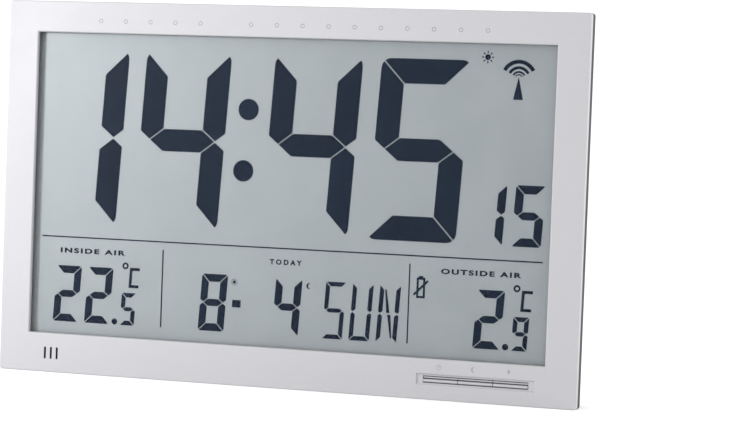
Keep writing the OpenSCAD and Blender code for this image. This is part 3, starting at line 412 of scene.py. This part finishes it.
def display_finishes():
    return {
        "display_film": plastic(
            "display_film",
            light=(0.62, 0.66, 0.68),
            dark=(0.56, 0.60, 0.63),
            smooth=0.28,
            rough=0.36,
            relief=0.003 * MM,
            Alpha=0.003,
        ),
        "display_glass": plastic(
            "display_glass",
            light=(0.60, 0.66, 0.65),
            dark=(0.54, 0.61, 0.60),
            smooth=0.05,
            rough=0.09,
            relief=0.001 * MM,
            Alpha=0.002,
        ),
        "segment_ink": plastic(
            "segment_ink",
            light=(0.0035, 0.0090, 0.021),
            dark=(0.0025, 0.0065, 0.016),
            smooth=0.42,
            rough=0.55,
            relief=0.002 * MM,
            Specular_IOR_Level=0.06,
        ),
        "reflector": plastic(
            "reflector",
            light=(0.225, 0.247, 0.259),
            dark=(0.203, 0.225, 0.236),
            smooth=0.46,
            rough=0.54,
            relief=0.004 * MM,
            Metallic=0.35,
        ),
        "coated_glass": plastic(
            "coated_glass",
            light=(0.221, 0.243, 0.254),
            dark=(0.199, 0.221, 0.232),
            smooth=0.46,
            rough=0.54,
            relief=0.004 * MM,
            Metallic=0.3,
        ),
        "white_plastic": plastic(
            "white_plastic", light=(0.78, 0.78, 0.75), dark=(0.68, 0.68, 0.65), smooth=0.42, rough=0.55
        ),
        "strip_rubber": plastic(
            "strip_rubber", light=(0.30, 0.20, 0.22), dark=(0.20, 0.13, 0.15), smooth=0.70, rough=0.85
        ),
    }


def board_finishes():
    return {
        "board_green": plastic(
            "board_green",
            light=(0.035, 0.17, 0.075),
            dark=(0.018, 0.10, 0.045),
            smooth=0.28,
            rough=0.42,
            relief=0.03 * MM,
            scale=1200.0,
        ),
        "black_resin": plastic(
            "black_resin", light=(0.022, 0.021, 0.020), dark=(0.010, 0.010, 0.010), smooth=0.22, rough=0.40
        ),
        "blue_sleeve": plastic(
            "blue_sleeve", light=(0.030, 0.055, 0.22), dark=(0.018, 0.034, 0.15), smooth=0.25, rough=0.38
        ),
        "black_plastic": plastic(
            "black_plastic", light=(0.034, 0.034, 0.035), dark=(0.018, 0.018, 0.019), smooth=0.40, rough=0.56
        ),
        "ferrite": plastic(
            "ferrite",
            light=(0.075, 0.072, 0.070),
            dark=(0.040, 0.039, 0.038),
            smooth=0.50,
            rough=0.72,
            relief=0.06 * MM,
        ),
        "copper_winding": metal(
            "copper_winding",
            light=(0.72, 0.30, 0.14),
            dark=(0.55, 0.20, 0.085),
            smooth=0.26,
            rough=0.44,
            relief=0.08 * MM,
            scale=9000.0,
        ),
        "brass_wire": metal(
            "brass_wire", light=(0.80, 0.58, 0.24), dark=(0.66, 0.46, 0.17), smooth=0.20, rough=0.36
        ),
        "brass_disc": metal(
            "brass_disc", light=(0.78, 0.58, 0.26), dark=(0.62, 0.45, 0.18), smooth=0.26, rough=0.42
        ),
    }


def wiring_finishes():
    return {
        "grey_lead": plastic(
            "grey_lead", light=(0.30, 0.30, 0.31), dark=(0.22, 0.22, 0.23), smooth=0.40, rough=0.55
        ),
        "red_lead": plastic(
            "red_lead", light=(0.46, 0.025, 0.020), dark=(0.34, 0.016, 0.014), smooth=0.36, rough=0.50
        ),
        "black_lead": plastic(
            "black_lead", light=(0.030, 0.030, 0.031), dark=(0.016, 0.016, 0.017), smooth=0.36, rough=0.50
        ),
        "cell_jacket": plastic(
            "cell_jacket",
            light=(0.34, 0.35, 0.36),
            dark=(0.24, 0.25, 0.26),
            smooth=0.24,
            rough=0.36,
            relief=0.004 * MM,
            Metallic=0.6,
        ),
        "bright_metal": metal(
            "bright_metal", light=(0.78, 0.78, 0.77), dark=(0.66, 0.66, 0.66), smooth=0.22, rough=0.40
        ),
        "spring_steel": metal(
            "spring_steel", light=(0.66, 0.66, 0.65), dark=(0.52, 0.52, 0.52), smooth=0.22, rough=0.38
        ),
        "screw_steel": metal(
            "screw_steel", light=(0.46, 0.45, 0.43), dark=(0.30, 0.295, 0.285), smooth=0.30, rough=0.48
        ),
    }


def floor_finish():
    return plastic(
        "pale_floor",
        light=(0.97, 0.97, 0.97),
        dark=(0.95, 0.95, 0.95),
        smooth=0.70,
        rough=0.85,
        relief=0.01 * MM,
    )


finishes = {**case_finishes(), **display_finishes(), **board_finishes(), **wiring_finishes()}


def dress_nodes():
    """Gives each CAD node the finish of its material slot."""
    for name, node in nodes.items():
        node.material_slots[0].material = finishes[slots[name]]


def add_piece(name, build, finish, body):
    """Turns a built mesh into a piece that rides on a body."""
    mesh = bpy.data.meshes.new(name)
    build.to_mesh(mesh)
    build.free()
    mesh.materials.append(finish)
    piece = bpy.data.objects.new(name, mesh)
    bpy.context.scene.collection.objects.link(piece)
    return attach(piece, body)


def shade_softly(piece):
    """Smooth shading across the rounded edges, with the flats left flat."""
    mesh = piece.data
    mesh.shade_smooth()
    mesh.set_sharp_from_angle(angle=SHARP_ANGLE)
    weighted = piece.modifiers.new("flat_faces", "WEIGHTED_NORMAL")
    weighted.keep_sharp = True


def keep_inside(build, low, high):
    for vert in build.verts:
        vert.co = [min(max(at, least), most) for at, least, most in zip(vert.co, low, high)]


def softened(node, width, air=0.0, finish=None):
    """Stands for a CAD node, with its sharp edges rounded, and thinner by air on front and back."""
    build = bmesh.new()
    build.from_mesh(nodes[node].data)
    bmesh.ops.remove_doubles(build, verts=build.verts, dist=WELD)
    bmesh.ops.dissolve_limit(build, angle_limit=FLAT_ANGLE, verts=build.verts, edges=build.edges)
    low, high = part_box(node)
    low.y += air
    high.y -= air
    keep_inside(build, low, high)
    sharp = [edge for edge in build.edges if edge.calc_face_angle() > BEVEL_ANGLE]
    bmesh.ops.bevel(
        build, geom=sharp, offset=width, segments=ROUNDING_STEPS, profile=ROUND_PROFILE, affect="EDGES"
    )
    keep_inside(build, low, high)
    piece = add_piece("soft_" + node, build, finishes[finish or slots[node]], nodes[node]["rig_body"])
    shade_softly(piece)
    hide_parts(node)


def soften_case():
    for node, width in EDGE_ROUNDING.items():
        softened(node, width)


def part_display():
    """Film and glasses, each a hair thinner than its CAD solid, so that their faces stay apart.

    The rear glass has a grey coat on its front, which the figures stand out against.
    """
    softened("lcd_front_film", FILM_ROUNDING, LAYER_AIR)
    softened("lcd_front_glass", GLASS_ROUNDING, LAYER_AIR)
    softened("lcd_rear_glass", GLASS_ROUNDING, LAYER_AIR, "coated_glass")


def add_prism(build, outline, front, back):
    """A plate with an outline of x and z in millimetres."""
    near = [build.verts.new((x * MM, front, z * MM)) for x, z in outline]
    far = [build.verts.new((x * MM, back, z * MM)) for x, z in outline]
    build.faces.new(near)
    build.faces.new(reversed(far))
    for i in range(len(outline)):
        build.faces.new((near[i - 1], far[i - 1], far[i], near[i]))


def add_block(build, left, right, low, high, front, back):
    add_prism(build, [(left, low), (right, low), (right, high), (left, high)], front, back)


def circle_points(x, z, radius, count, start=0.0, turn=360.0):
    """Points round a circle, or along an arc with both of its ends."""
    steps = count if turn >= 360.0 else count - 1
    angles = [math.radians(start + turn * i / steps) for i in range(count)]
    return [(x + radius * math.cos(angle), z + radius * math.sin(angle)) for angle in angles]


def add_ring(build, x, z, outer, inner, front, back, count=40):
    """A closed ring as a row of short blocks welded end to end."""
    loops = []
    for radius, y in ((outer, front), (inner, front), (inner, back), (outer, back)):
        points = circle_points(x, z, radius, count)
        loops.append([build.verts.new((px * MM, y, pz * MM)) for px, pz in points])
    for near, far in zip(loops, loops[1:] + loops[:1]):
        for i in range(count):
            build.faces.new((near[i - 1], near[i], far[i], far[i - 1]))


def add_crescent(build, x, z, radius, front, back):
    outer = circle_points(x, z, radius, count=24, start=60.0, turn=240.0)
    bite_x = x + MOON_BITE_SHIFT * radius
    bite = circle_points(bite_x, z, MOON_BITE_RADIUS * radius, count=20, start=268.0, turn=-176.0)
    add_prism(build, outer + bite, front, back)


def add_sun(build, x, z, radius, front, back):
    add_prism(build, circle_points(x, z, SUN_DISC * radius, count=24), front, back)
    middle = Vector((x, z))
    for i in range(SUN_RAYS):
        angle = math.radians(360.0 / SUN_RAYS * i)
        along = Vector((math.cos(angle), math.sin(angle)))
        across = Vector((-along.y, along.x)) * SUN_RAY_HALF * radius
        inner = middle + along * SUN_RAY_START * radius
        outer = middle + along * radius
        add_prism(build, [inner - across, outer - across, outer + across, inner + across], front, back)


def add_bell(build, x, z, size, front, back):
    dome = circle_points(x, z + BELL_DOME_RAISE * size, BELL_DOME * size, count=20, start=0.0, turn=180.0)
    waist_z = z - BELL_WAIST_DROP * size
    rim_z = z - BELL_RIM_DROP * size
    skirt = [
        (x - BELL_DOME * size, waist_z),
        (x - BELL_RIM * size, rim_z),
        (x + BELL_RIM * size, rim_z),
        (x + BELL_DOME * size, waist_z),
    ]
    add_prism(build, dome + skirt, front, back)
    clapper = circle_points(x, z - BELL_CLAPPER_DROP * size, BELL_CLAPPER * size, count=16)
    add_prism(build, clapper, front, back)


def add_dial(build, x, z, radius, front, back):
    add_ring(build, x, z, radius, DIAL_INNER * radius, front, back)
    half = DIAL_HAND_HALF * radius
    add_block(build, x - half, x + half, z - half, z + DIAL_MINUTE_HAND * radius, front, back)
    add_block(build, x + half, x + DIAL_HOUR_HAND * radius, z - half, z + half, front, back)


def letter_mesh(words, spacing):
    """Plain sans-serif capitals as a mesh, at Blender's own text size."""
    data = bpy.data.curves.new("label", "FONT")
    data.body = words
    data.space_character = spacing
    data.offset = LABEL_WEIGHT
    data.extrude = LABEL_HALF_DEPTH
    text = bpy.data.objects.new("label", data)
    bpy.context.scene.collection.objects.link(text)
    bpy.context.view_layer.update()
    mesh = bpy.data.meshes.new_from_object(text.evaluated_get(bpy.context.evaluated_depsgraph_get()))
    bpy.data.objects.remove(text)
    bpy.data.curves.remove(data)
    return mesh


def add_label(build, words, spacing, left, right):
    """Letters fitted between two ends, given in millimetres, in the ink layer."""
    mesh = letter_mesh(words, spacing)
    xs = [vert.co.x for vert in mesh.vertices]
    ys = [vert.co.y for vert in mesh.vertices]
    for vert in mesh.vertices:
        across = (vert.co.x - min(xs)) / (max(xs) - min(xs))
        up = (vert.co.y - min(ys)) / (max(ys) - min(ys))
        deep = LABEL_HALF_DEPTH - vert.co.z
        vert.co = (
            (left + (right - left) * across) * MM,
            INK_FRONT + (INK_BACK - INK_FRONT) * deep,
            (LABEL_LOW + (LABEL_HIGH - LABEL_LOW) * up) * MM,
        )
    build.from_mesh(mesh)
    bpy.data.meshes.remove(mesh)


def make_display_signs():
    """Labels and small signs in the display's ink layer."""
    build = bmesh.new()
    for words, spacing, left, right in LABELS:
        add_label(build, words, spacing, left, right)
    add_sun(build, DATE_SUN_X, DATE_SUN_Z, DATE_SUN_RADIUS, INK_FRONT, INK_BACK)
    add_crescent(build, DATE_MOON_X, DATE_MOON_Z, DATE_MOON_RADIUS, INK_FRONT, INK_BACK)
    bmesh.ops.recalc_face_normals(build, faces=build.faces)
    piece = add_piece("display_signs", build, finishes["segment_ink"], "clock")


def print_levels():
    return FRONT_Y - PRINT_RISE, FRONT_Y + PRINT_ROOT


def print_row():
    """Row of small rings above the window."""
    front, back = print_levels()
    build = bmesh.new()
    for i in range(ROW_COUNT):
        if i != ROW_GAP:
            x = ROW_LEFT + ROW_PITCH * i
            add_ring(build, x, ROW_Z, ROW_RADIUS, ROW_RADIUS - ROW_STROKE, front, back)
    bmesh.ops.recalc_face_normals(build, faces=build.faces)
    add_piece("row_marks", build, finishes["row_ink"], "clock")


def print_key_signs():
    """A dial, a crescent and a bell above the three keys."""
    front, back = print_levels()
    dial_x, crescent_x, bell_x = KEY_SIGNS_X
    build = bmesh.new()
    add_dial(build, dial_x, KEY_SIGNS_Z, KEY_SIGN_RADIUS, front, back)
    add_crescent(build, crescent_x, KEY_SIGNS_Z, KEY_SIGN_RADIUS, front, back)
    add_bell(build, bell_x, KEY_SIGNS_Z + BELL_RAISE, BELL_SIZE, front, back)
    bmesh.ops.recalc_face_normals(build, faces=build.faces)
    add_piece("key_signs", build, finishes["sign_ink"], "clock")


def make_camera():
    data = bpy.data.cameras.new("photo_camera")
    data.lens = CAMERA_LENS
    data.sensor_width = SENSOR_WIDTH
    level = CAMERA_AHEAD.cross(Vector((0.0, 0.0, 1.0))).normalized()
    above = level.cross(CAMERA_AHEAD)
    right = level * math.cos(CAMERA_ROLL) + above * math.sin(CAMERA_ROLL)
    up = right.cross(CAMERA_AHEAD)
    camera = bpy.data.objects.new("photo_camera", data)
    turn = Matrix((right, up, -CAMERA_AHEAD)).transposed().to_4x4()
    camera.matrix_world = Matrix.Translation(CAMERA_PLACE) @ turn
    bpy.context.scene.collection.objects.link(camera)
    bpy.context.scene.camera = camera


def make_light(name, place, target, sides, power):
    data = bpy.data.lights.new(name, "AREA")
    data.shape = "RECTANGLE"
    data.size, data.size_y = sides
    data.energy = power
    lamp = bpy.data.objects.new(name, data)
    lamp.location = place
    lamp.rotation_euler = (Vector(target) - Vector(place)).to_track_quat("-Z", "Y").to_euler()
    bpy.context.scene.collection.objects.link(lamp)


def make_lights():
    make_light("key_light", *KEY_LIGHT)
    make_light("side_light", *SIDE_LIGHT)


def make_white_world():
    world = bpy.data.worlds.new("white_studio")
    world.use_nodes = True
    background = world.node_tree.nodes["Background"]
    background.inputs["Color"].default_value = opaque((1.0, 1.0, 1.0))
    background.inputs["Strength"].default_value = STUDIO_WHITE
    bpy.context.scene.world = world


def make_floor():
    """A pale sheet that the clock stands on."""
    build = bmesh.new()
    bmesh.ops.create_grid(build, x_segments=FLOOR_SQUARES, y_segments=FLOOR_SQUARES, size=FLOOR_REACH)
    mesh = bpy.data.meshes.new("floor")
    build.to_mesh(mesh)
    build.free()
    floor = bpy.data.objects.new("floor", mesh)
    bpy.context.scene.collection.objects.link(floor)
    mesh.materials.append(floor_finish())


bpy.context.scene.view_settings.view_transform = "Standard"
bpy.context.scene.cycles.transparent_max_bounces = CLEAR_LAYERS
dress_nodes()
soften_case()
part_display()
make_display_signs()
print_row()
print_key_signs()
make_camera()
make_lights()
make_white_world()
make_floor()
